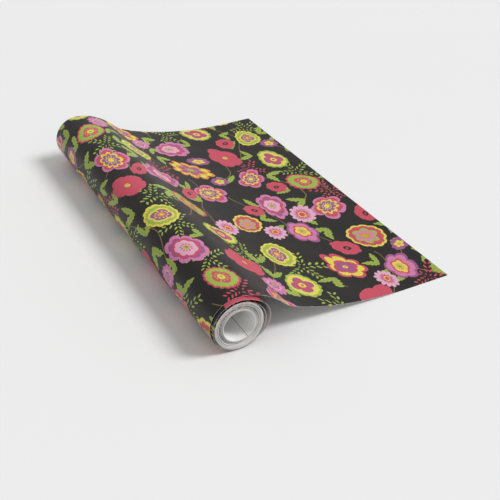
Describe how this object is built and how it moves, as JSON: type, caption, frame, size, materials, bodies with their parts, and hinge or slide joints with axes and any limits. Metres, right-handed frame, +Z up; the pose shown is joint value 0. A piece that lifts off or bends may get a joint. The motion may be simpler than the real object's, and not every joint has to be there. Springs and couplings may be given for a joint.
{
  "type": "gift wrap roll",
  "caption": "Partly unrolled roll of printed gift wrap on a board core, with its free end drawn off over the top and down onto the table.",
  "frame": {"origin": "centre of the object's footprint, on the table", "axes": "+Z up, +Y along the roll's axis, +X from the roll towards the paper's free end"},
  "size_m": [0.3124, 0.5066, 0.0634],
  "materials": {
    "printed_paper": "near-black flood coat with a bright flower print and a soft satin sheen on one side, plain white on the other",
    "board": "raw pale grey core board",
    "liner": "uncoated white liner paper",
    "tape": "clear adhesive tape"
  },
  "bodies": {
    "wrap": {"outer_turn": "printed_paper", "paper_run": "printed_paper"},
    "roll": {"core_tube": "board", "core_liner": "liner", "start_tape": "tape", "tight_turns": "printed_paper", "loose_turn": "printed_paper"},
    "sheet": {"free_sheet": "printed_paper"},
    "flap": {"sheet_end": "printed_paper"}
  },
  "joints": [
    {"name": "roll_spin", "type": "hinge", "parent": "wrap", "child": "roll", "pos_m": [-0.1245, 0, 0.0317], "axis": [0, 1, 0], "range_deg": [0, 720]},
    {"name": "sheet_pull", "type": "slide", "parent": "wrap", "child": "sheet", "axis": [1, 0, 0], "range_m": [0, 0.3958], "deforming": ["paper_run"]},
    {"name": "flap_lift", "type": "hinge", "parent": "sheet", "child": "flap", "pos_m": [0.1015, 0, 0.0004], "axis": [0, -1, 0], "range_deg": [0, 80]}
  ],
  "couplings": [
    {"joint": "roll_spin", "follows": "sheet_pull", "rad_per_m": 31.746}
  ]
}
